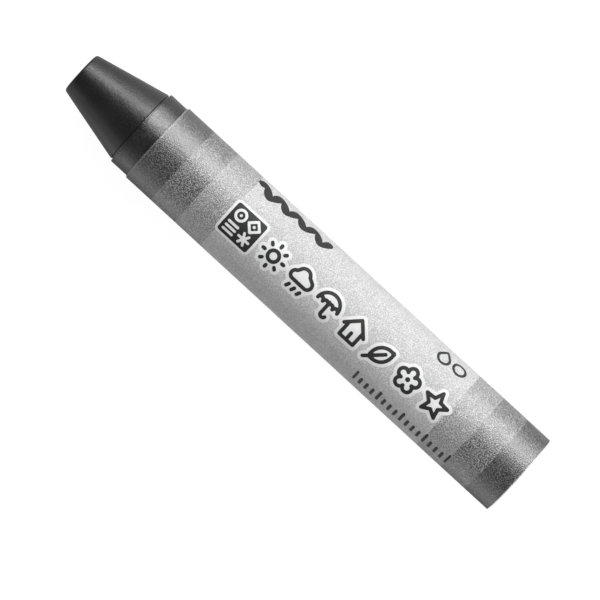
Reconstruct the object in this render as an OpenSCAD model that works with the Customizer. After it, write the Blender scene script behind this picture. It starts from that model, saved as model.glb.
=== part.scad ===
// Thick school crayon: a cast wax stick in a sleeve of printed paper.
// The sleeve is one sheet, rolled two turns and a lap, and pasted to itself.
// Row frame: the crayon lies along X with its drawing tip towards +X, resting on Z = 0.
// The origin is under the middle of its length, where the sleeve touches the table.

/* [Wax stick] */
// Length from the blunt tip to the rear end
stick_len = 76.6; // [65:0.1:90]
// Length of the tapered nose
nose_len = 10.5; // [6:0.1:14]
// Diameter of the blunt tip, before its rim is rounded
tip_d = 6.08; // [3:0.02:9]
// Radius of the tip's rounded rim
tip_round = 0.45; // [0.2:0.05:0.9]
// Height that the barrel stands out over the base of the nose
ledge_step = 0.22; // [0.1:0.02:0.6]
// Run along the stick of the sloped ledge between nose and barrel
ledge_len = 0.2; // [0.1:0.05:0.6]
// Length of bare barrel between the ledge and the sleeve
bare_len = 2.8; // [1:0.1:6]
// Radius of the rounded edge at the rear end
rear_round = 0.3; // [0.1:0.05:0.6]
// Gap all round between the stick and its sleeve
slide_gap = 0.03; // [0.01:0.01:0.1]

/* [Paper sleeve] */
// Outside diameter of the sleeve away from its lap
sleeve_d = 12; // [11:0.1:13]
// Thickness of the paper
paper_t = 0.085; // [0.07:0.005:0.11]
// Thickness of the dried paste between the turns
paste_t = 0.03; // [0.02:0.005:0.04]
// Angle that the outer end of the sheet laps past its second turn
lap_angle = 30; // [15:5:60]
// Angle over which the sheet climbs over the edge beneath it
climb_angle = 8; // [6:1:10]

/* [Hidden] */
$fn = 128;

// The sheet rises by one pitch in each turn.
pitch = paper_t + paste_t;
sleeve_r = sleeve_d / 2;
second_turn_r = sleeve_r - paper_t;
bore_r = second_turn_r - pitch;
lap_r = sleeve_r + pitch;

barrel_r = bore_r - slide_gap;
nose_z = stick_len - nose_len;
ledge_z = nose_z - ledge_len;
// The sleeve ends flush with the rear of the stick.
sleeve_len = ledge_z - bare_len;

// The crayon rolls until it stands on the lap's edge and on the barrel beside it.
// Their common tangent is this angle past the lap's start, and that place is turned to the bottom.
rest_angle = lap_angle + acos(sleeve_r / lap_r);

arc_steps = 8;

// Points of an arc from one direction to another about a centre.
function arc_points(centre, radius, from, to) =
    [for (i = [0 : arc_steps])
        let (a = from + (to - from) * i / arc_steps)
        centre + radius * [cos(a), sin(a)]];

// Half outline of the stick in (radius, height), standing on its rear end.
function stick_outline() =
    let (
        base_r = barrel_r - ledge_step,
        tip_r = tip_d / 2,
        slope = atan((base_r - tip_r) / nose_len),
        // The rim's centre lies one radius below the tip and one radius inside the flank.
        rim_r = tip_r + tip_round * (tan(slope) - 1 / cos(slope))
    )
    concat(
        [[0, 0]],
        arc_points([barrel_r - rear_round, rear_round], rear_round, -90, 0),
        [[barrel_r, ledge_z], [base_r, nose_z]],
        arc_points([rim_r, stick_len - tip_round], tip_round, slope, 90),
        [[0, stick_len]]
    );

// Lays down a shape that stands on Z = 0: its foot goes to the rear, its lap to the bottom.
module laid_down()
    translate([-stick_len / 2, 0, sleeve_r])
        rotate([0, 90, 0])
            rotate([0, 0, -rest_angle])
                children();

// Outline of one turn: a circle that climbs to the next turn before angle 0 and steps back there.
module turn_outline(radius) {
    circle(radius);
    polygon([
        [0, 0],
        radius * [cos(climb_angle), -sin(climb_angle)],
        [radius + pitch, 0]
    ]);
}

// One turn of a sheet between two radii.
module turn(inner, outer)
    difference() {
        turn_outline(outer);
        turn_outline(inner);
    }

// The part of a turn that belongs to the lap.
module in_lap() {
    reach = 2 * lap_r;
    intersection() {
        children();
        polygon([
            [0, 0],
            [reach, 0],
            reach * [cos(lap_angle / 2), sin(lap_angle / 2)],
            reach * [cos(lap_angle), sin(lap_angle)]
        ]);
    }
}

module wax_stick()
    color([0.13, 0.13, 0.13])
        laid_down()
            rotate_extrude()
                polygon(stick_outline());

// The printed sheet: two full turns and the lap, as one spiral.
module paper_sleeve()
    color([0.72, 0.72, 0.72])
        laid_down()
            linear_extrude(sleeve_len) {
                turn(bore_r, bore_r + paper_t);
                turn(second_turn_r, sleeve_r);
                in_lap() turn(sleeve_r + paste_t, lap_r);
            }

// The paste that holds each turn to the one beneath it.
module paste_film()
    color([0.85, 0.82, 0.72])
        laid_down()
            linear_extrude(sleeve_len) {
                turn(bore_r + paper_t, second_turn_r);
                in_lap() turn(sleeve_r, sleeve_r + paste_t);
            }

wax_stick();
paper_sleeve();
paste_film();
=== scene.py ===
"""Looks of the crayon: cast wax stick, rolled sleeve of printed paper, and the paste between its turns.

Everything is in metres in the row frame: the crayon lies along X with its tip towards +X.
Angles round the axis are in degrees from straight down, towards +Y, unless a comment says otherwise.
"""

import math

import bpy
import numpy as np
from mathutils import Matrix, Vector


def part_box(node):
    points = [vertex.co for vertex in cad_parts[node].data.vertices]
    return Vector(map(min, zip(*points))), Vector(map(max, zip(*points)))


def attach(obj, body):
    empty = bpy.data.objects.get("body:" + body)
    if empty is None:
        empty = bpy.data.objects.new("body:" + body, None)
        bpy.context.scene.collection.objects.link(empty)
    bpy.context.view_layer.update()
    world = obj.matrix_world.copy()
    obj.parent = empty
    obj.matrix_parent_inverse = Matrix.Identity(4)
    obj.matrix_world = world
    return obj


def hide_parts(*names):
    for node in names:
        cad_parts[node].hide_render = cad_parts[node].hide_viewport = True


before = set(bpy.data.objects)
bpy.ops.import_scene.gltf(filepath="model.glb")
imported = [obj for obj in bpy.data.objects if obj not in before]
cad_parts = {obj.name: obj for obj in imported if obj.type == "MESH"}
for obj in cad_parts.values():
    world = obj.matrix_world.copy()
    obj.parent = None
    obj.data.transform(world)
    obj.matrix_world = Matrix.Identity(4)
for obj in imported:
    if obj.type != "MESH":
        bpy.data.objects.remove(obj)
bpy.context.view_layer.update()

MM = 0.001

# ---------------------------------------------------------------- sizes taken from the CAD frame

stick_low, stick_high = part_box("wax_stick")
sleeve_low, sleeve_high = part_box("paper_sleeve")
REAR_X, TIP_X = stick_low.x, stick_high.x
MOUTH_X = sleeve_high.x
AXIS_Z = (stick_low.z + stick_high.z) / 2
BARREL_R = (stick_high.y - stick_low.y) / 2
SLEEVE_R = (sleeve_high.y - sleeve_low.y) / 2

# The rolled sheet: two turns and a lap, as in the CAD.
PAPER_T = 0.085 * MM
PASTE_T = 0.03 * MM
PITCH = PAPER_T + PASTE_T
BORE_R = SLEEVE_R - PAPER_T - PITCH
LAP = 30
CLIMB = 8
ROLL_END = 720 + LAP
ROLL_START_ANGLE = -(LAP + math.degrees(math.acos(SLEEVE_R / (SLEEVE_R + PITCH))))
SHEET_LEN = MOUTH_X - REAR_X

# ---------------------------------------------------------------- small helpers


def smooth(t):
    t = min(max(t, 0.0), 1.0)
    return t * t * (3 - 2 * t)


def around(x, angle, radius):
    """The point at this radius from the crayon's axis."""
    a = math.radians(angle)
    return (x, radius * math.sin(a), AXIS_Z - radius * math.cos(a))


def new_object(name, verts, faces, materials):
    mesh = bpy.data.meshes.new(name)
    mesh.from_pydata(verts, [], faces)
    mesh.validate()
    for material in materials:
        mesh.materials.append(material)
    obj = bpy.data.objects.new(name, mesh)
    bpy.context.scene.collection.objects.link(obj)
    mesh.polygons.foreach_set("use_smooth", [True] * len(mesh.polygons))
    return obj


def sharpen(obj, limit=40):
    """Creases the mesh's edges that are sharper than this many degrees."""
    obj.data.set_sharp_from_angle(angle=math.radians(limit))


# ---------------------------------------------------------------- material helpers


def new_material(name, **settings):
    """A material with its Principled shader, which takes the settings that are the same all over."""
    material = bpy.data.materials.new(name)
    material.use_nodes = True
    tree = material.node_tree
    shader = tree.nodes["Principled BSDF"]
    for socket, value in settings.items():
        shader.inputs[socket.replace("_", " ")].default_value = value
    return material, tree, shader


def node(tree, kind, inputs=None, **props):
    made = tree.nodes.new(kind)
    for name, value in props.items():
        setattr(made, name, value)
    for name, value in (inputs or {}).items():
        socket = made.inputs[name]
        if isinstance(value, bpy.types.NodeSocket):
            tree.links.new(value, socket)
        else:
            socket.default_value = value
    return made


def maths(tree, operation, a, b=0.0):
    return node(tree, "ShaderNodeMath", {0: a, 1: b}, operation=operation).outputs[0]


def object_point(tree, stretch=(1, 1, 1)):
    """Object coordinates in millimetres, stretched so that patterns run along an axis."""
    point = node(tree, "ShaderNodeTexCoord").outputs["Object"]
    scale = [s / MM for s in stretch]
    return node(tree, "ShaderNodeVectorMath", {0: point, 1: scale}, operation="MULTIPLY").outputs[0]


def noise(tree, point, size, detail=2.0, roughness=0.5):
    """Noise from 0 to 1 whose features are about this many millimetres across."""
    inputs = {"Vector": point, "Scale": 1 / size, "Detail": detail, "Roughness": roughness}
    return node(tree, "ShaderNodeTexNoise", inputs).outputs["Fac"]


def ramp(tree, factor, stops, interpolation="LINEAR"):
    """A colour ramp: stops are (place from 0 to 1, grey or colour)."""
    made = node(tree, "ShaderNodeValToRGB", {"Fac": factor})
    elements = made.color_ramp.elements
    made.color_ramp.interpolation = interpolation
    while len(elements) < len(stops):
        elements.new(1.0)
    for element, (place, tone) in zip(elements, stops):
        element.position = place
        element.color = (*tone, 1) if isinstance(tone, tuple) else (tone, tone, tone, 1)
    return made.outputs["Color"]


def mix_colour(tree, factor, a, b, blend="MIX"):
    """A mix of two colours. A Mix node has them at sockets 6 and 7, and its result at 2."""
    made = node(tree, "ShaderNodeMix", data_type="RGBA", blend_type=blend)
    for index, value in ((0, factor), (6, a), (7, b)):
        socket = made.inputs[index]
        if isinstance(value, bpy.types.NodeSocket):
            tree.links.new(value, socket)
        else:
            socket.default_value = value
    return made.outputs[2]


def mix_number(tree, factor, a, b):
    return node(tree, "ShaderNodeMix", {0: factor, 2: a, 3: b}).outputs[0]


def map_range(tree, value, low, high, to_low, to_high):
    inputs = {"Value": value, 1: low, 2: high, 3: to_low, 4: to_high}
    return node(tree, "ShaderNodeMapRange", inputs).outputs[0]


def bumps(tree, shader, layers):
    """Bump from layers of (height from 0 to 1, depth in millimetres)."""
    normal = None
    for height, depth in layers:
        inputs = {"Height": height, "Distance": depth * MM, "Strength": 1.0}
        if normal is not None:
            inputs["Normal"] = normal
        normal = node(tree, "ShaderNodeBump", inputs).outputs["Normal"]
    tree.links.new(normal, shader.inputs["Normal"])


# ---------------------------------------------------------------- wax


NOSE_LEN = 10.5 * MM
NOSE_X = TIP_X - NOSE_LEN
LEDGE_STEP = 0.22 * MM
LEDGE_LEN = 0.2 * MM
LEDGE_ROUND = 0.07 * MM
NOSE_BASE_R = BARREL_R - LEDGE_STEP
TIP_R = 3.04 * MM
TIP_ROUND = 0.45 * MM
TIP_DOME = 0.06 * MM
REAR_ROUND = 0.3 * MM
CREASE_W = 0.28 * MM
CREASE_DEPTH = 0.15 * MM
CREASE_FOOT = 0.01 * MM
# How fast the nose narrows, which is how far it has come down where the crease ends.
NOSE_TAPER = 0.24
DIMPLE_R = 4.3 * MM
DIMPLE_DEPTH = 0.22 * MM
STICK_WAVER = 0.012 * MM

# Specular level of the skin, of the ring just ahead of the sleeve's mouth, and of the tip's face.
WAX_GLOSS = 0.89
RING_GLOSS = 0.60
TIP_GLOSS = 0.20
RING_AHEAD = 0.1
WAX_ROUGHNESS = 0.20
# How much of the barrel's scuffing the nose shows.
NOSE_SCUFFS = 0.25


def wax_gloss(tree, along):
    """Specular level, lower on the tip's face and in the ring that the paper's edge has rubbed."""
    from_ring = maths(tree, "ABSOLUTE", maths(tree, "SUBTRACT", along, MOUTH_X / MM + RING_AHEAD))
    rubbed = map_range(tree, from_ring, 0.08, 0.30, RING_GLOSS, WAX_GLOSS)
    flat_tip = map_range(tree, along, TIP_X / MM - 0.35, TIP_X / MM - 0.10, WAX_GLOSS, TIP_GLOSS)
    return maths(tree, "MINIMUM", rubbed, flat_tip)


def wax_material():
    """Black pigmented wax: a satin skin with a faint bloom, dust specks, drag marks and scuffs."""
    material, tree, shader = new_material("wax", IOR=1.5)
    point = object_point(tree)
    along = node(tree, "ShaderNodeSeparateXYZ", {0: point}).outputs["X"]
    tree.links.new(wax_gloss(tree, along), shader.inputs["Specular IOR Level"])

    bloom = noise(tree, point, 3.2, 3.0, 0.6)
    specks = noise(tree, point, 0.22, 1.0)
    drag = noise(tree, object_point(tree, (0.12, 1, 1)), 0.28, 3.0)
    scuffs = noise(tree, object_point(tree, (1.6, 1, 1)), 0.42, 3.0, 0.65)
    nose_foot = NOSE_X / MM
    on_barrel = map_range(tree, along, nose_foot - 0.3, nose_foot, 1.0, NOSE_SCUFFS)

    colour = ramp(tree, bloom, [(0.3, 0.007), (0.75, 0.011)])
    dust = ramp(tree, specks, [(0.68, 0.0), (0.80, 0.03)])
    colour = mix_colour(tree, 1.0, colour, dust, "ADD")
    tree.links.new(colour, shader.inputs["Base Color"])

    bloomed = maths(tree, "MULTIPLY", bloom, 0.12)
    dragged = maths(tree, "MULTIPLY", drag, 0.10)
    scuffed = maths(tree, "MULTIPLY", map_range(tree, scuffs, 0.35, 0.65, -0.12, 0.12), on_barrel)
    roughness = maths(tree, "ADD", bloomed, dragged)
    roughness = maths(tree, "ADD", roughness, scuffed)
    roughness = maths(tree, "ADD", roughness, WAX_ROUGHNESS)
    tree.links.new(roughness, shader.inputs["Roughness"])

    scuff_height = maths(tree, "MULTIPLY", scuffs, on_barrel)
    bumps(tree, shader, [(bloom, 0.05), (drag, 0.006), (specks, 0.02), (scuff_height, 0.02)])
    return material


def rounded(centre_x, centre_r, radius, start, end, steps=7):
    """Outline points (x, radius) of a rounded edge. Angles are from the axis direction +X."""
    points = []
    for i in range(steps):
        a = math.radians(start + (end - start) * i / (steps - 1))
        points.append((centre_x + radius * math.cos(a), centre_r + radius * math.sin(a)))
    return points


def between(a, b, count):
    """Points spaced evenly from a to b, both left out."""
    points = []
    for i in range(1, count):
        points.append((a[0] + (b[0] - a[0]) * i / count, a[1] + (b[1] - a[1]) * i / count))
    return points


# How many steps the outline takes along each stretch, and how many segments go round it.
DISH_STEPS = 12
BARREL_STEPS = 110
NOSE_STEPS = 34
DOME_STEPS = 8
STICK_SEGMENTS = 180


def stick_outline():
    """The stick's outline as (x, radius), from the middle of the rear face to the middle of the tip."""
    slope = math.degrees(math.atan((NOSE_BASE_R - TIP_R) / NOSE_LEN))
    dish = []
    for i in range(1, DISH_STEPS + 1):
        t = i / DISH_STEPS
        dish.append((REAR_X + DIMPLE_DEPTH * (1 - smooth(t)), DIMPLE_R * t))
    rear = rounded(REAR_X + REAR_ROUND, BARREL_R - REAR_ROUND, REAR_ROUND, 180, 90)
    wall_x = NOSE_X - LEDGE_LEN / 2
    ledge = rounded(wall_x - LEDGE_ROUND, BARREL_R - LEDGE_ROUND, LEDGE_ROUND, 90, 10, 5)
    crease = [
        (wall_x + CREASE_FOOT, NOSE_BASE_R - CREASE_DEPTH),
        (wall_x + CREASE_W / 2, NOSE_BASE_R - CREASE_DEPTH),
        (wall_x + CREASE_W, NOSE_BASE_R - NOSE_TAPER * CREASE_W),
    ]
    rim_r = TIP_R + TIP_ROUND * (math.tan(math.radians(slope)) - 1 / math.cos(math.radians(slope)))
    rim_x = TIP_X - TIP_ROUND - TIP_DOME
    rim = rounded(rim_x, rim_r, TIP_ROUND, 90 - slope, 4)
    dome = []
    for i in range(1, DOME_STEPS):
        t = 1 - i / DOME_STEPS
        dome.append((TIP_X - TIP_DOME * t * t, rim[-1][1] * t))
    outline = dish + rear + between(rear[-1], ledge[0], BARREL_STEPS)
    return outline + ledge + crease + between(crease[-1], rim[0], NOSE_STEPS) + rim + dome


def stick_waver(x, angle):
    """How far the cast surface wanders from its true radius."""
    a, u = math.radians(angle), x / MM
    waver = 0.4 * math.sin(0.31 * u + 1.3) * math.sin(2 * a + 0.4) + 0.35 * math.sin(0.53 * u - 2 * a)
    return STICK_WAVER * (waver + 0.25 * math.sin(1.1 * u + 3 * a + 2.0))


def build_stick():
    outline = stick_outline()
    verts = [(REAR_X + DIMPLE_DEPTH, 0, AXIS_Z), (TIP_X, 0, AXIS_Z)]
    for x, r in outline:
        for s in range(STICK_SEGMENTS):
            angle = 360 * s / STICK_SEGMENTS
            verts.append(around(x, angle, r + stick_waver(x, angle) * r / BARREL_R))
    last = 2 + (len(outline) - 1) * STICK_SEGMENTS
    faces = []
    for s in range(STICK_SEGMENTS):
        t = (s + 1) % STICK_SEGMENTS
        faces.append((0, 2 + s, 2 + t))
        faces.append((1, last + t, last + s))
        for ring in range(len(outline) - 1):
            a = 2 + ring * STICK_SEGMENTS
            b = a + STICK_SEGMENTS
            faces.append((a + t, a + s, b + s, b + t))
    stick = new_object("stick", verts, faces, [wax_material()])
    sharpen(stick, 28)
    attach(stick, "stick")
    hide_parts("wax_stick")


# ---------------------------------------------------------------- rolled sheet


SHIFT_PER_TURN = 0.12 * MM
PAPER_WAVER = 0.009 * MM
FLARE = 0.012 * MM
FLARE_LEN = 0.5 * MM
# Degrees of roll between a sheet's columns of points, and the points in each column.
COLUMN_ANGLE = 1.5
SLEEVE_ROWS = 64
PASTE_ROWS = 40


def roll_radius(roll):
    """Inner radius of the sheet after it has rolled through this angle."""
    turns, part = divmod(roll, 360)
    return BORE_R + PITCH * (turns + smooth((part - (360 - CLIMB)) / CLIMB))


def sheet_shift(roll):
    """The sheet was rolled slightly askew, so each turn starts a little further back."""
    return -SHIFT_PER_TURN * (roll - ROLL_END) / 360


def rear_edge(roll):
    return REAR_X + sheet_shift(roll)


def front_edge(roll):
    return MOUTH_X + sheet_shift(roll) - 0.5 * SHIFT_PER_TURN


def paper_waver(x, angle):
    """Shallow waves and a slight flare at the mouth, shared by every layer of the roll."""
    a, u = math.radians(angle), x / MM
    waves = 0.5 * math.sin(0.21 * u + 0.6) * math.sin(a + 0.9) + 0.4 * math.sin(0.47 * u + 2 * a)
    flare = math.exp(-(MOUTH_X - x) / FLARE_LEN) * (0.7 + 0.3 * math.sin(3 * a))
    return PAPER_WAVER * waves + FLARE * flare


def spiral_slab(name, roll_from, roll_to, height, thickness, rear, front, rows, materials):
    """A closed sheet of this thickness that follows the roll at this height over its inner side.

    rear and front give its ends along X for each roll angle. Its outer side has the first material
    and every other side the last. rows is the number of points from end to end. The UV map is in
    millimetres on the flat sheet.
    """
    columns = int((roll_to - roll_from) / COLUMN_ANGLE) + 1
    rolls = [roll_from + (roll_to - roll_from) * c / (columns - 1) for c in range(columns)]
    places = [0.5 - 0.5 * math.cos(math.pi * r / (rows - 1)) for r in range(rows)]
    verts, flat = [], []
    for offset in (height + thickness, height):
        for roll in rolls:
            angle = ROLL_START_ANGLE + roll
            a, b = rear(roll), front(roll)
            for place in places:
                x = a + (b - a) * place
                verts.append(around(x, angle, roll_radius(roll) + offset + paper_waver(x, angle)))
                flat.append((math.radians(roll) * SLEEVE_R / MM, (x - REAR_X - sheet_shift(roll)) / MM))
    inner = columns * rows
    faces, sides = [], []

    # Sides: 0 is the outer one, 1 the inner one and 2 the cut edges.
    def add(face, side):
        faces.append(face)
        sides.append(side)

    for c in range(columns - 1):
        p, q = c * rows, (c + 1) * rows
        for r in range(rows - 1):
            add((p + r, q + r, q + r + 1, p + r + 1), 0)
            add((inner + p + r, inner + p + r + 1, inner + q + r + 1, inner + q + r), 1)
        e = rows - 1
        add((p, inner + p, inner + q, q), 2)
        add((p + e, q + e, inner + q + e, inner + p + e), 2)
    last = (columns - 1) * rows
    for r in range(rows - 1):
        add((r, r + 1, inner + r + 1, inner + r), 2)
        add((last + r, inner + last + r, inner + last + r + 1, last + r + 1), 2)
    slab = new_object(name, verts, faces, materials)
    mesh = slab.data
    mesh.polygons.foreach_set("material_index", [min(s, len(materials) - 1) for s in sides])
    layer = mesh.uv_layers.new(name="sheet")
    layer.data.foreach_set("uv", [n for loop in mesh.loops for n in flat[loop.vertex_index]])
    sharpen(slab)
    return slab


# The printed bands: the grey of each, and its start as a distance in millimetres from the rear edge.
DARK, MID, LIGHT, PANEL = 0.050, 0.138, 0.245, 0.40
BANDS = [
    (0, DARK), (4.1, MID), (8.27, LIGHT), (12.52, PANEL),
    (50.1, LIGHT), (54.48, MID), (58.75, DARK),
]
# Specular level, roughness and strength of the tooth in each band.
GLOSS = {DARK: 0.95, MID: 0.84, LIGHT: 0.60, PANEL: 0.1}
ROUGHNESS = {DARK: 0.38, MID: 0.39, LIGHT: 0.42, PANEL: 0.62}
TOOTH = {DARK: 1.0, MID: 0.72, LIGHT: 0.39, PANEL: 0.18}
# The print climbs this much along the sheet for each millimetre round it.
PRINT_SKEW = 0.0035
# How far the bands' edges wander, and the worn width at the sheet's ends, in millimetres.
PRINT_WANDER = 0.015
BARE_EDGE = 0.05
WORN_EDGE = 0.10
BARE_PAPER = (0.70, 0.68, 0.63)
PAPER_SHADE = (0.56, 0.54, 0.49)
WAX_STAIN = (0.12, 0.115, 0.105)
GRAIN = 0.15


def paper_grain(tree):
    """The fine tooth of the label paper: (speckle, fibres)."""
    point = object_point(tree)
    return noise(tree, point, GRAIN, 1.0), noise(tree, point, 0.9, 3.0, 0.6)


def by_band(tree, place, values):
    """The value of the band at this place, which runs from 0 at the sheet's rear to 1 at its mouth."""
    stops = [(start * MM / SHEET_LEN, values[band]) for start, band in BANDS]
    return ramp(tree, place, stops, "CONSTANT")


def printed_material():
    """Satin ink bands with the paper's tooth in them, and bare paper at the cut edges."""
    material, tree, shader = new_material("printed_paper", IOR=1.6)
    speckle, fibres = paper_grain(tree)
    uv = node(tree, "ShaderNodeUVMap", uv_map="sheet").outputs[0]
    split = node(tree, "ShaderNodeSeparateXYZ", {0: uv})
    wander = map_range(tree, noise(tree, object_point(tree), 0.3), 0.0, 1.0, -PRINT_WANDER, PRINT_WANDER)
    skewed = maths(tree, "MULTIPLY", split.outputs["X"], PRINT_SKEW)
    along = maths(tree, "ADD", split.outputs["Y"], skewed)
    along = maths(tree, "ADD", along, wander)
    length = SHEET_LEN / MM
    place = maths(tree, "DIVIDE", along, length)

    tooth = ramp(tree, speckle, [(0.40, 0.05), (0.52, 0.85), (0.62, 2.4)])
    mottle = ramp(tree, fibres, [(0.30, 0.94), (0.70, 1.06)])
    ink = by_band(tree, place, {band: band for band in GLOSS})
    ink = mix_colour(tree, by_band(tree, place, TOOTH), ink, tooth, "MULTIPLY")
    ink = mix_colour(tree, 1.0, ink, mottle, "MULTIPLY")

    to_rear = maths(tree, "ADD", split.outputs["Y"], wander)
    to_mouth = maths(tree, "SUBTRACT", length, to_rear)
    edge = maths(tree, "MINIMUM", to_rear, to_mouth)
    worn = map_range(tree, edge, BARE_EDGE, WORN_EDGE, 0.8, 0.0)
    colour = mix_colour(tree, worn, ink, (*BARE_PAPER, 1))
    tree.links.new(colour, shader.inputs["Base Color"])

    tree.links.new(by_band(tree, place, GLOSS), shader.inputs["Specular IOR Level"])
    unevenness = map_range(tree, speckle, 0.3, 0.7, -0.04, 0.04)
    roughness = maths(tree, "ADD", by_band(tree, place, ROUGHNESS), unevenness)
    tree.links.new(roughness, shader.inputs["Roughness"])
    bumps(tree, shader, [(fibres, 0.006), (speckle, 0.050)])
    return material


def wax_smears(tree):
    """How much wax has rubbed on to the sleeve's inner side: streaks that stop short of its ends."""
    streaks = noise(tree, object_point(tree, (0.05, 1, 1)), 0.45, 4.0, 0.6)
    smears = map_range(tree, streaks, 0.45, 0.75, 0.0, 0.6)
    uv = node(tree, "ShaderNodeUVMap", uv_map="sheet").outputs[0]
    from_rear = node(tree, "ShaderNodeSeparateXYZ", {0: uv}).outputs["Y"]
    from_mouth = maths(tree, "SUBTRACT", SHEET_LEN / MM, from_rear)
    from_end = maths(tree, "MINIMUM", from_rear, from_mouth)
    return maths(tree, "MULTIPLY", smears, map_range(tree, from_end, 0.2, 1.5, 0.0, 1.0))


def bare_material():
    """Unprinted side and cut edges of the label paper, smeared with wax away from its ends."""
    material, tree, shader = new_material("bare_paper", Specular_IOR_Level=0.3)
    speckle, fibres = paper_grain(tree)
    shade = ramp(tree, fibres, [(0.3, PAPER_SHADE), (0.7, BARE_PAPER)])
    flecks = ramp(tree, speckle, [(0.25, 0.86), (0.6, 1.0)])
    paper = mix_colour(tree, 1.0, shade, flecks, "MULTIPLY")
    colour = mix_colour(tree, wax_smears(tree), paper, (*WAX_STAIN, 1))
    tree.links.new(colour, shader.inputs["Base Color"])
    tree.links.new(map_range(tree, speckle, 0.2, 0.8, 0.7, 0.9), shader.inputs["Roughness"])
    bumps(tree, shader, [(fibres, 0.012), (speckle, 0.008)])
    return material


def build_sleeve():
    materials = [printed_material(), bare_material()]
    sleeve = spiral_slab("sleeve", 0, ROLL_END, 0, PAPER_T, rear_edge, front_edge, SLEEVE_ROWS, materials)
    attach(sleeve, "sleeve")
    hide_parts("paper_sleeve")


PASTE_DARK = (0.50, 0.46, 0.36)
PASTE_PALE = (0.68, 0.64, 0.53)
PASTE_INSET = 0.22 * MM
# The paste runs from the inner free edge to just under the outer one.
PASTE_END = 360 + LAP - 1


def paste_material():
    """Dried starch paste: yellowish, slightly cloudy, with a dull gloss."""
    material, tree, shader = new_material("paste", Specular_IOR_Level=0.4)
    point = object_point(tree)
    haze = noise(tree, point, 0.6, 3.0)
    colour = ramp(tree, haze, [(0.3, PASTE_DARK), (0.7, PASTE_PALE)])
    tree.links.new(colour, shader.inputs["Base Color"])
    tree.links.new(map_range(tree, haze, 0.3, 0.7, 0.35, 0.55), shader.inputs["Roughness"])
    bumps(tree, shader, [(haze, 0.01)])
    return material


def paste_edge(roll, phase):
    """The paste stops unevenly short of the sheet's ends."""
    a = math.radians(roll)
    return PASTE_INSET * (1 + 0.45 * math.sin(3.1 * a + phase) + 0.25 * math.sin(7.3 * a + 2 * phase))


def paste_rear(roll):
    return rear_edge(roll) + paste_edge(roll, 0.7)


def paste_front(roll):
    return front_edge(roll + 360) - paste_edge(roll, 2.1)


def build_paste():
    materials = [paste_material()]
    paste = spiral_slab(
        "paste", 0, PASTE_END, PAPER_T, PASTE_T, paste_rear, paste_front, PASTE_ROWS, materials
    )
    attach(paste, "sleeve")
    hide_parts("paste_film")


# ---------------------------------------------------------------- printed motifs
# Motifs are drawn flat in millimetres, x to the right and y up, as signed distances: below 0 is ink.


FAR_AWAY = 1e3
TINY = 1e-12


def arc(cx, cy, r, start, end, steps=24):
    turn = [math.radians(start + (end - start) * i / steps) for i in range(steps + 1)]
    return [(cx + r * math.cos(a), cy + r * math.sin(a)) for a in turn]


def stroke(points, half_widths):
    """Distance to a line with round ends. half_widths is one number, or one for each point."""
    widths = [half_widths] * len(points) if isinstance(half_widths, (int, float)) else half_widths
    pairs = list(zip(points, widths))
    if len(pairs) == 1:
        pairs = pairs * 2

    def distance(x, y):
        nearest = np.full(x.shape, FAR_AWAY)
        for ((ax, ay), wa), ((bx, by), wb) in zip(pairs, pairs[1:]):
            dx, dy = bx - ax, by - ay
            t = np.clip(((x - ax) * dx + (y - ay) * dy) / max(dx * dx + dy * dy, TINY), 0, 1)
            gap = np.hypot(x - ax - t * dx, y - ay - t * dy) - (wa + (wb - wa) * t)
            nearest = np.minimum(nearest, gap)
        return nearest

    return distance


def joined(shapes):
    return lambda x, y: np.minimum.reduce([shape(x, y) for shape in shapes])


def without(shape, hole):
    return lambda x, y: np.maximum(shape(x, y), -hole(x, y))


def grown(shape, by):
    return lambda x, y: shape(x, y) - by


def moved(shape, dx, dy):
    return lambda x, y: shape(x - dx, y - dy)


def rounded_box(half_x, half_y, corner):
    def distance(x, y):
        qx, qy = np.abs(x) - half_x + corner, np.abs(y) - half_y + corner
        outside = np.hypot(np.maximum(qx, 0), np.maximum(qy, 0))
        return outside + np.minimum(np.maximum(qx, qy), 0) - corner

    return distance


# Half widths of the pens.
PEN = 0.25
BADGE_PEN = 0.18
THIN_PEN = 0.19
TICK_PEN = 0.21


def pen_lines(*lines, pen=PEN):
    return joined([stroke(line, pen) for line in lines])


def polar(r, degrees):
    return (r * math.cos(math.radians(degrees)), r * math.sin(math.radians(degrees)))


def closed(points):
    return points + points[:1]


def sun():
    rays = [[polar(1.48, 45 * k), polar(1.76, 45 * k)] for k in range(8)]
    return pen_lines(arc(0, 0, 0.76, 0, 360), *rays)


def cloud():
    outline = arc(-1.02, 0.18, 0.60, 265, 105)
    outline += arc(-0.12, 0.82, 0.88, 165, 20)
    outline += arc(1.00, 0.22, 0.66, 70, -92)
    rain = [[(x, -1.22), (x - 0.2, -1.66)] for x in (-0.82, 0.08, 0.98)]
    return pen_lines(closed(outline), *rain)


def umbrella():
    edge = [p for k in range(4) for p in arc(-1.23 + 0.82 * k, 0.05, 0.41, 180, 0, 8)]
    handle = [(0, 0.5), (0, -1.25)] + arc(0.38, -1.25, 0.38, 180, 350)
    return pen_lines(arc(0, 0.05, 1.64, 0, 180) + edge, handle)


def house():
    walls = [(-1.15, 0.2), (-1.15, -1.6), (1.15, -1.6), (1.15, 0.2)]
    roof = [(-1.65, -0.05), (0, 1.65), (1.65, -0.05)]
    return pen_lines(walls, roof, [(0, -0.5), (0, -1.55)])


def leaf():
    side = arc(0.70, -0.62, 1.86, 72, 196)
    blade = side + [(y, x) for x, y in reversed(side)]
    return pen_lines(closed(blade), [(-1.7, -1.7), (0.45, 0.45)])


def flower():
    petals = []
    for k in range(5):
        turn = 90 + 72 * k
        petals += arc(*polar(1.06, turn), 0.62, turn - 118, turn + 118, 14)
    return joined([pen_lines(closed(petals)), stroke([(0, 0)], 0.33)])


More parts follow.
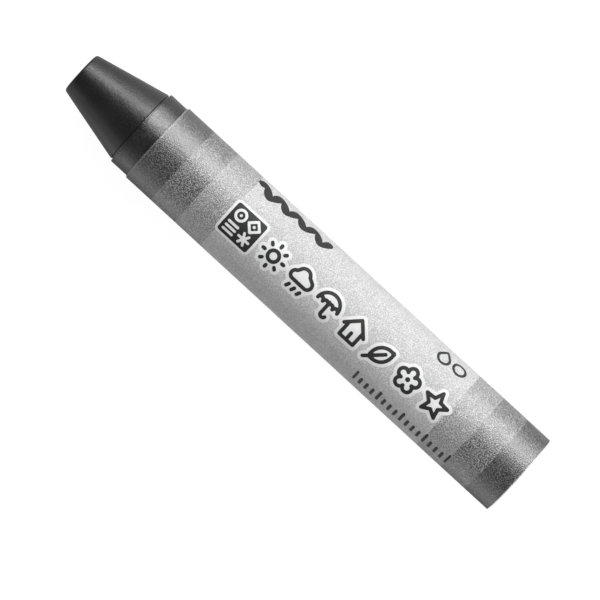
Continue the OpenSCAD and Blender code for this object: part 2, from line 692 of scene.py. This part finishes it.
def star():
    points = [polar(1.80 if k % 2 == 0 else 0.80, 90 + 36 * k) for k in range(10)]
    return pen_lines(closed(points))


MOTIFS = {
    "sun": sun,
    "cloud": cloud,
    "umbrella": umbrella,
    "house": house,
    "leaf": leaf,
    "flower": flower,
    "star": star,
}


def badge_symbols():
    """Four small signs, two by two: dotted ring, dotted diamond, bars and asterisk."""
    dot = stroke([(0, 0)], 0.20)
    ring = joined([pen_lines(arc(0, 0, 0.72, 0, 360), pen=BADGE_PEN), dot])
    corners = [(0, 0.90), (0.90, 0), (0, -0.90), (-0.90, 0)]
    diamond = joined([pen_lines(closed(corners), pen=BADGE_PEN), dot])
    bars = pen_lines(*[[(-0.74, h), (0.74, h)] for h in (-0.62, 0, 0.62)], pen=BADGE_PEN)
    asterisk = pen_lines(*[[polar(0.80, a), polar(-0.80, a)] for a in (0, 60, 120)], pen=BADGE_PEN)
    x, y = 1.12, 1.05
    upper = [moved(ring, -x, y), moved(diamond, x, y)]
    lower = [moved(bars, -x, -y), moved(asterisk, x, -y)]
    return joined(upper + lower)


def scribble():
    """A loose wave from a broad brush, thin where the brush turns."""
    length, waves, steps = 11.6, 4, 120
    thin, swell = 0.34, 0.34
    points, widths = [], []
    for i in range(steps + 1):
        t = i / steps
        swing = math.sin(2 * math.pi * waves * t + 0.6)
        points.append((length * (t - 0.5), swing * (0.85 + 0.15 * math.cos(5 * t))))
        pressed = 0.5 + 0.5 * math.cos(4 * math.pi * waves * t + 0.5)
        widths.append(thin + swell * pressed * (1 - 0.3 * t))
    return stroke(points, widths)


def droplet():
    """A drop and a ring, side by side in a thin line."""
    drop = closed([(0, 1.30)] + arc(0, -0.30, 0.88, 150, 390, 30))
    ring = arc(0, 0, 0.92, 0, 360)
    apart = 1.25
    return joined([
        moved(pen_lines(drop, pen=THIN_PEN), -apart, 0),
        moved(pen_lines(ring, pen=THIN_PEN), apart, 0),
    ])


def ticks():
    """A row of marks a millimetre apart, every fourth one longer, like the divisions of a ruler."""
    count, foot = 17, -0.78
    marks = []
    for k in range(count):
        height = 1.56 if k % 4 == 0 else 1.04
        x = k - (count - 1) / 2
        marks.append(stroke([(x, foot), (x, foot + height)], TICK_PEN))
    return joined(marks)


# Places on the sleeve: middle along X, and arc length from the top line towards +Y, in millimetres.
ROW_ARC = 0.66
BADGE_X = 9.37
MOTIF_X = 3.97
MOTIF_PITCH = 4.655
SCRIBBLE_PLACE = (5.4, -5.9)
DROPLET_PLACE = (-22.2, -5.4)
TICKS_PLACE = (-22.0, 5.45)

# The badge's half sizes and corner radius, and half sizes of the areas that shapes are cut from.
BADGE_HALF = (2.46, 2.30)
BADGE_CORNER = 0.35
BADGE_AREA = (2.6, 2.45)
MOTIF_AREA = (2.3, 2.3)
SCRIBBLE_AREA = (6.8, 1.8)
DROPLET_AREA = (2.4, 1.5)
TICKS_AREA = (8.1, 0.95)
HALO_HALF_Y = 2.9

# Cell sizes that the areas are cut into, in millimetres.
FINE_CELL = 0.07
CELL = 0.1
HALO_CELL = 0.15

# Width of the pale border round a motif and round the badge, in millimetres.
HALO = 0.42
BADGE_BORDER = 0.36

# Darkest and lightest grey of each ink, and how far the films reach into and over the paper.
DARK_INK = (0.010, 0.018)
PALE_INK = (0.53, 0.61)
INK_SUNK = 0.004 * MM
PALE_HEIGHT = 0.006 * MM
DARK_HEIGHT = 0.012 * MM


def contour(shape, area, cell):
    """Points and faces of the inked area, from cells cut along the shape's edge."""
    half_x, half_y = area
    nx, ny = int(2 * half_x / cell) + 2, int(2 * half_y / cell) + 2
    xs, ys = (np.arange(nx) - (nx - 1) / 2) * cell, (np.arange(ny) - (ny - 1) / 2) * cell
    values = shape(*np.meshgrid(xs, ys, indexing="ij"))
    # No corner lies so near the outline that it would leave a sliver.
    least = 0.06 * cell
    values = np.where(np.abs(values) < least, np.where(values < 0, -least, least), values)
    points, index, faces = [], {}, []

    def corner(i, j):
        return vertex(("corner", i, j), xs[i], ys[j])

    def crossing(a, b):
        a, b = min(a, b), max(a, b)
        t = values[a] / (values[a] - values[b])
        x = xs[a[0]] + t * (xs[b[0]] - xs[a[0]])
        y = ys[a[1]] + t * (ys[b[1]] - ys[a[1]])
        return vertex((a, b), x, y)

    def vertex(key, x, y):
        if key not in index:
            index[key] = len(points)
            points.append((float(x), float(y)))
        return index[key]

    inside = values < 0
    touched = inside[:-1, :-1] | inside[1:, :-1] | inside[1:, 1:] | inside[:-1, 1:]
    for i, j in zip(*np.nonzero(touched)):
        corners = [(i, j), (i + 1, j), (i + 1, j + 1), (i, j + 1)]
        face = []
        for here, there in zip(corners, corners[1:] + corners[:1]):
            if inside[here]:
                face.append(corner(*here))
            if inside[here] != inside[there]:
                face.append(crossing(here, there))
        faces.append(face)
    return points, faces


def outer_angle_to_roll(angle):
    """The roll angle at which the sheet's outer turn passes this angle."""
    return (angle - ROLL_START_ANGLE - (ROLL_END - 360)) % 360 + ROLL_END - 360


def lay_on_sleeve(place, x, y, height):
    """A motif's point on the printed side, which is read with the tip to the left and -Y up."""
    along = place[0] * MM - x * MM
    angle = 180 - math.degrees((place[1] - y) * MM / SLEEVE_R)
    radius = roll_radius(outer_angle_to_roll(angle)) + PAPER_T + paper_waver(along, angle)
    return around(along, angle, radius + height)


def print_piece(name, shape, place, area, cell, height, material):
    """A film of ink in this shape, as a closed slab on the sleeve."""
    points, faces = contour(shape, area, cell)
    count = len(points)
    verts = [lay_on_sleeve(place, x, y, height) for x, y in points]
    verts += [lay_on_sleeve(place, x, y, -INK_SUNK) for x, y in points]
    edges = {}
    for face in faces:
        for a, b in zip(face, face[1:] + face[:1]):
            edges[(a, b)] = True
    slab = [tuple(face) for face in faces]
    slab += [tuple(count + v for v in reversed(face)) for face in faces]
    slab += [(b, a, count + a, count + b) for a, b in edges if (b, a) not in edges]
    obj = new_object(name, verts, slab, [material])
    sharpen(obj)
    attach(obj, "sleeve")


def ink_material(name, low, high):
    """Printing ink that carries the paper's tooth."""
    material, tree, shader = new_material(name, Specular_IOR_Level=0.35)
    speckle, fibres = paper_grain(tree)
    tone = ramp(tree, speckle, [(0.3, low), (0.7, high)])
    mottle = ramp(tree, fibres, [(0.3, 0.95), (0.7, 1.04)])
    tree.links.new(mix_colour(tree, 1.0, tone, mottle, "MULTIPLY"), shader.inputs["Base Color"])
    tree.links.new(map_range(tree, speckle, 0.3, 0.7, 0.50, 0.60), shader.inputs["Roughness"])
    bumps(tree, shader, [(fibres, 0.006), (speckle, 0.004)])
    return material


def build_halo(shapes, material):
    """One pale film under the badge and every motif, so that it never overlaps itself."""
    last_x = MOTIF_X - MOTIF_PITCH * (len(shapes) - 1)
    middle = (BADGE_X + last_x) / 2
    badge = grown(rounded_box(*BADGE_HALF, BADGE_CORNER), BADGE_BORDER)
    films = [moved(badge, middle - BADGE_X, 0)]
    # A round core closes the film over the middle of an open motif.
    core = stroke([(0, 0.25)], 0.8)
    for k, shape in enumerate(shapes):
        film = joined([grown(shape, HALO), core])
        films.append(moved(film, middle - (MOTIF_X - MOTIF_PITCH * k), 0))
    area = (BADGE_X - middle + BADGE_HALF[0] + 0.6, HALO_HALF_Y)
    place = (middle, ROW_ARC)
    print_piece("halo", joined(films), place, area, HALO_CELL, PALE_HEIGHT, material)


def build_print():
    dark = ink_material("ink_dark", *DARK_INK)
    pale = ink_material("ink_pale", *PALE_INK)

    def dark_piece(name, shape, place, area, cell):
        print_piece(name, shape, place, area, cell, DARK_HEIGHT, dark)

    shapes = [draw() for draw in MOTIFS.values()]
    build_halo(shapes, pale)
    badge = without(rounded_box(*BADGE_HALF, BADGE_CORNER), badge_symbols())
    dark_piece("badge", badge, (BADGE_X, ROW_ARC), BADGE_AREA, FINE_CELL)
    for k, (name, shape) in enumerate(zip(MOTIFS, shapes)):
        dark_piece(name, shape, (MOTIF_X - MOTIF_PITCH * k, ROW_ARC), MOTIF_AREA, CELL)
    dark_piece("scribble", scribble(), SCRIBBLE_PLACE, SCRIBBLE_AREA, CELL)
    dark_piece("droplet", droplet(), DROPLET_PLACE, DROPLET_AREA, FINE_CELL)
    dark_piece("ticks", ticks(), TICKS_PLACE, TICKS_AREA, FINE_CELL)


# ---------------------------------------------------------------- studio


VIEW_DISTANCE = 0.8
VIEW_WIDTH = 77.15 * MM
AXIS_TILT = 42.59
VIEW_OFFSET = (-2.31 * MM, 2.47 * MM)
SENSOR_WIDTH = 36


def build_camera():
    """Straight down: the crayon runs from upper left to lower right, its middle just above centre."""
    tilt = math.radians(AXIS_TILT)
    right = Vector((-math.cos(tilt), -math.sin(tilt), 0))
    up = Vector((math.sin(tilt), -math.cos(tilt), 0))
    back = Vector((0, 0, 1))
    target = Vector(((REAR_X + TIP_X) / 2, 0, AXIS_Z)) + Vector((*VIEW_OFFSET, 0))
    data = bpy.data.cameras.new("camera")
    data.sensor_width = SENSOR_WIDTH
    data.lens = SENSOR_WIDTH * VIEW_DISTANCE / VIEW_WIDTH
    data.clip_start = 0.01
    data.clip_end = 10
    camera = bpy.data.objects.new("camera", data)
    rotation = Matrix((right, up, back)).transposed().to_4x4()
    camera.matrix_world = Matrix.Translation(target + VIEW_DISTANCE * back) @ rotation
    bpy.context.scene.collection.objects.link(camera)
    bpy.context.scene.camera = camera


# name, zenith, towards, distance, width, height, radiance
SOFTBOXES = [
    ("key_middle", 45, -88, 0.6, 0.46, 0.34, 4.45),
    ("key_spread", 50, -88, 0.6, 0.46, 0.80, 3.15),
    ("rear_side", 60, 180, 0.7, 0.45, 0.35, 6.4),
    ("tip_side", 60, -40, 0.7, 0.45, 0.35, 2.4),
]


def softbox(name, zenith, towards, distance, width, height, radiance):
    """A rectangular light that faces the crayon.

    zenith is its angle from straight up and towards its compass angle from +X, both in degrees.
    width is its level side.
    """
    z, h = math.radians(zenith), math.radians(towards)
    away = Vector((math.sin(z) * math.cos(h), math.sin(z) * math.sin(h), math.cos(z)))
    data = bpy.data.lights.new(name, "AREA")
    data.shape = "RECTANGLE"
    data.size, data.size_y = width, height
    data.energy = radiance * math.pi * width * height
    light = bpy.data.objects.new(name, data)
    light.location = Vector((0, 0, AXIS_Z)) + distance * away
    light.rotation_euler = away.to_track_quat("Z", "Y").to_euler()
    light.visible_camera = False
    bpy.context.scene.collection.objects.link(light)


# Strength of the floor's light: what the camera sees, what lights the crayon from -Y to +Y,
# what the crayon mirrors on its +Y side, dim close by as a painted shadow of the crayon and bright far
# off, and what it gets beyond the tip.
FLOOR_GLOW = 0.96
FLOOR_BOUNCE = (0.47, 1.0)
FLOOR_MIRRORED_SHADOW_TO_FAR = (0.15, 1.2)
TIP_BOUNCE = 0.30
FLOOR_HALF = 2.0


def floor_bounce(tree, path):
    """The light that the floor throws at the crayon, which mirrors a painted shadow close by at +Y."""
    split = node(tree, "ShaderNodeSeparateXYZ", {0: object_point(tree)})
    x, y = split.outputs["X"], split.outputs["Y"]
    lit = map_range(tree, y, 0, 12, *FLOOR_BOUNCE)
    # Painted shadow: what the crayon mirrors is darkest from 6 to 10 mm at +Y, where the crayon's shadow
    # would fall, and brightens out to 30 mm.
    shadow_to_far_off = map_range(tree, y, 10, 30, *FLOOR_MIRRORED_SHADOW_TO_FAR)
    near_lamps = map_range(tree, y, 0, 6, FLOOR_BOUNCE[0] - FLOOR_MIRRORED_SHADOW_TO_FAR[0], 0)
    mirrored = maths(tree, "ADD", shadow_to_far_off, near_lamps)
    bounce = mix_number(tree, path.outputs["Is Glossy Ray"], lit, mirrored)
    by_tip = map_range(tree, x, 26, 42, 0.0, 1.0)
    return mix_number(tree, by_tip, bounce, TIP_BOUNCE)


def build_floor():
    """A floor that looks white to the camera, and has a light of its own for the crayon."""
    material, tree, shader = new_material("floor", Roughness=0.9, Specular_IOR_Level=0.1)
    shade = noise(tree, object_point(tree), 40, 2.0)
    tree.links.new(ramp(tree, shade, [(0.3, 0.095), (0.7, 0.105)]), shader.inputs["Base Color"])
    shader.inputs["Emission Color"].default_value = (1, 1, 1, 1)
    path = node(tree, "ShaderNodeLightPath")
    glow = mix_number(tree, path.outputs["Is Camera Ray"], floor_bounce(tree, path), FLOOR_GLOW)
    tree.links.new(glow, shader.inputs["Emission Strength"])
    half = FLOOR_HALF
    corners = [(-half, -half, 0), (half, -half, 0), (half, half, 0), (-half, half, 0)]
    floor = new_object("floor", corners, [(0, 1, 2, 3)], [material])


# Greys of the sky, by the height of the direction: 0 at the horizon and 1 straight up.
SKY = [
    (0.0, 1.0),
    (0.1, 0.95),
    (0.28, 0.6),
    (0.42, 0.4),
    (0.56, 0.25),
    (0.77, 0.13),
    (1.0, 0.1),
]
SKY_BEYOND_TIP = 0.35
SKY_STRENGTH = 0.91


def build_world():
    """Bright near the horizon, and dim overhead and beyond the tip."""
    world = bpy.data.worlds.new("studio")
    bpy.context.scene.world = world
    world.use_nodes = True
    tree = world.node_tree
    direction = node(tree, "ShaderNodeTexCoord").outputs["Generated"]
    split = node(tree, "ShaderNodeSeparateXYZ", {0: direction})
    sky = ramp(tree, split.outputs["Z"], SKY)
    beyond_tip = map_range(tree, split.outputs["X"], 0.05, 0.5, 1.0, SKY_BEYOND_TIP)
    sky = mix_colour(tree, 1.0, sky, beyond_tip, "MULTIPLY")
    background = tree.nodes["Background"]
    tree.links.new(sky, background.inputs["Color"])
    background.inputs["Strength"].default_value = SKY_STRENGTH


def build_studio():
    build_camera()
    build_floor()
    build_world()
    for settings in SOFTBOXES:
        softbox(*settings)
    bpy.context.scene.view_settings.view_transform = "Standard"


build_studio()
build_stick()
build_sleeve()
build_paste()
build_print()
